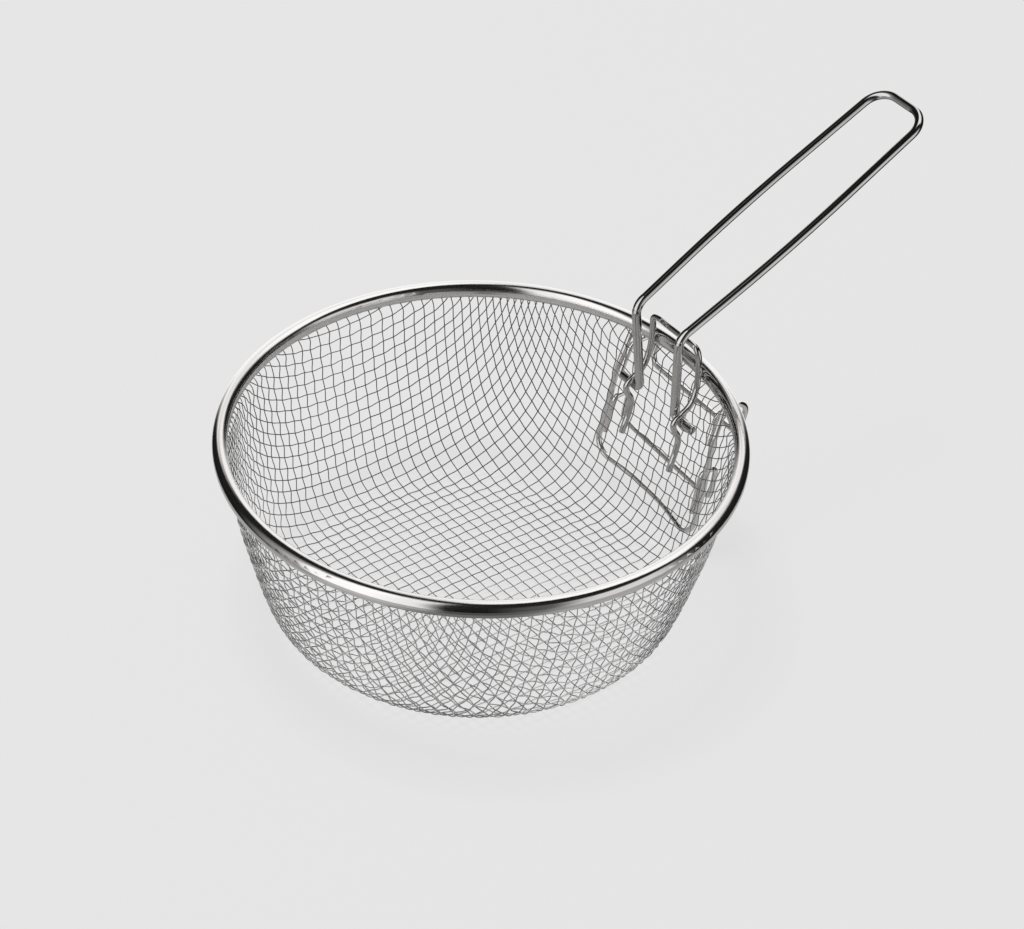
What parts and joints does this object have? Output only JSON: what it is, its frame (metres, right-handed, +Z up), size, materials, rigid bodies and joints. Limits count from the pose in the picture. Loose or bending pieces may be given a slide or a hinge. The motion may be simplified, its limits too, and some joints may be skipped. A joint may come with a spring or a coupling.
{
  "type": "deep fryer basket",
  "caption": "Round woven wire fryer basket with a rolled rim, a long wire handle hinged in an inner clip, and a wire frame with two pan hooks behind the mesh.",
  "frame": {"origin": "middle of the bowl's flat underside, on the surface that it stands on", "axes": "+X from the bowl's middle to the handle, +Z up through the bowl's mouth, +Y sideways across the handle"},
  "size_m": [0.3308, 0.22, 0.17],
  "materials": {
    "mesh_wire": "bright drawn wire, woven",
    "polished_rim": "polished",
    "polished_wire": "polished wire"
  },
  "bodies": {
    "basket": {"mesh_bowl": "mesh_wire", "rim_ring": "polished_rim", "handle_clip": "polished_wire", "outer_frame": "polished_wire", "upper_hook": "polished_wire", "lower_hook": "polished_wire"},
    "handle": {"handle": "polished_wire"}
  },
  "joints": [
    {"name": "handle_fold", "type": "hinge", "parent": "basket", "child": "handle", "pos_m": [0.09271, 0, 0.06225], "axis": [0, -1, 0], "range_deg": [-8, 150]}
  ]
}
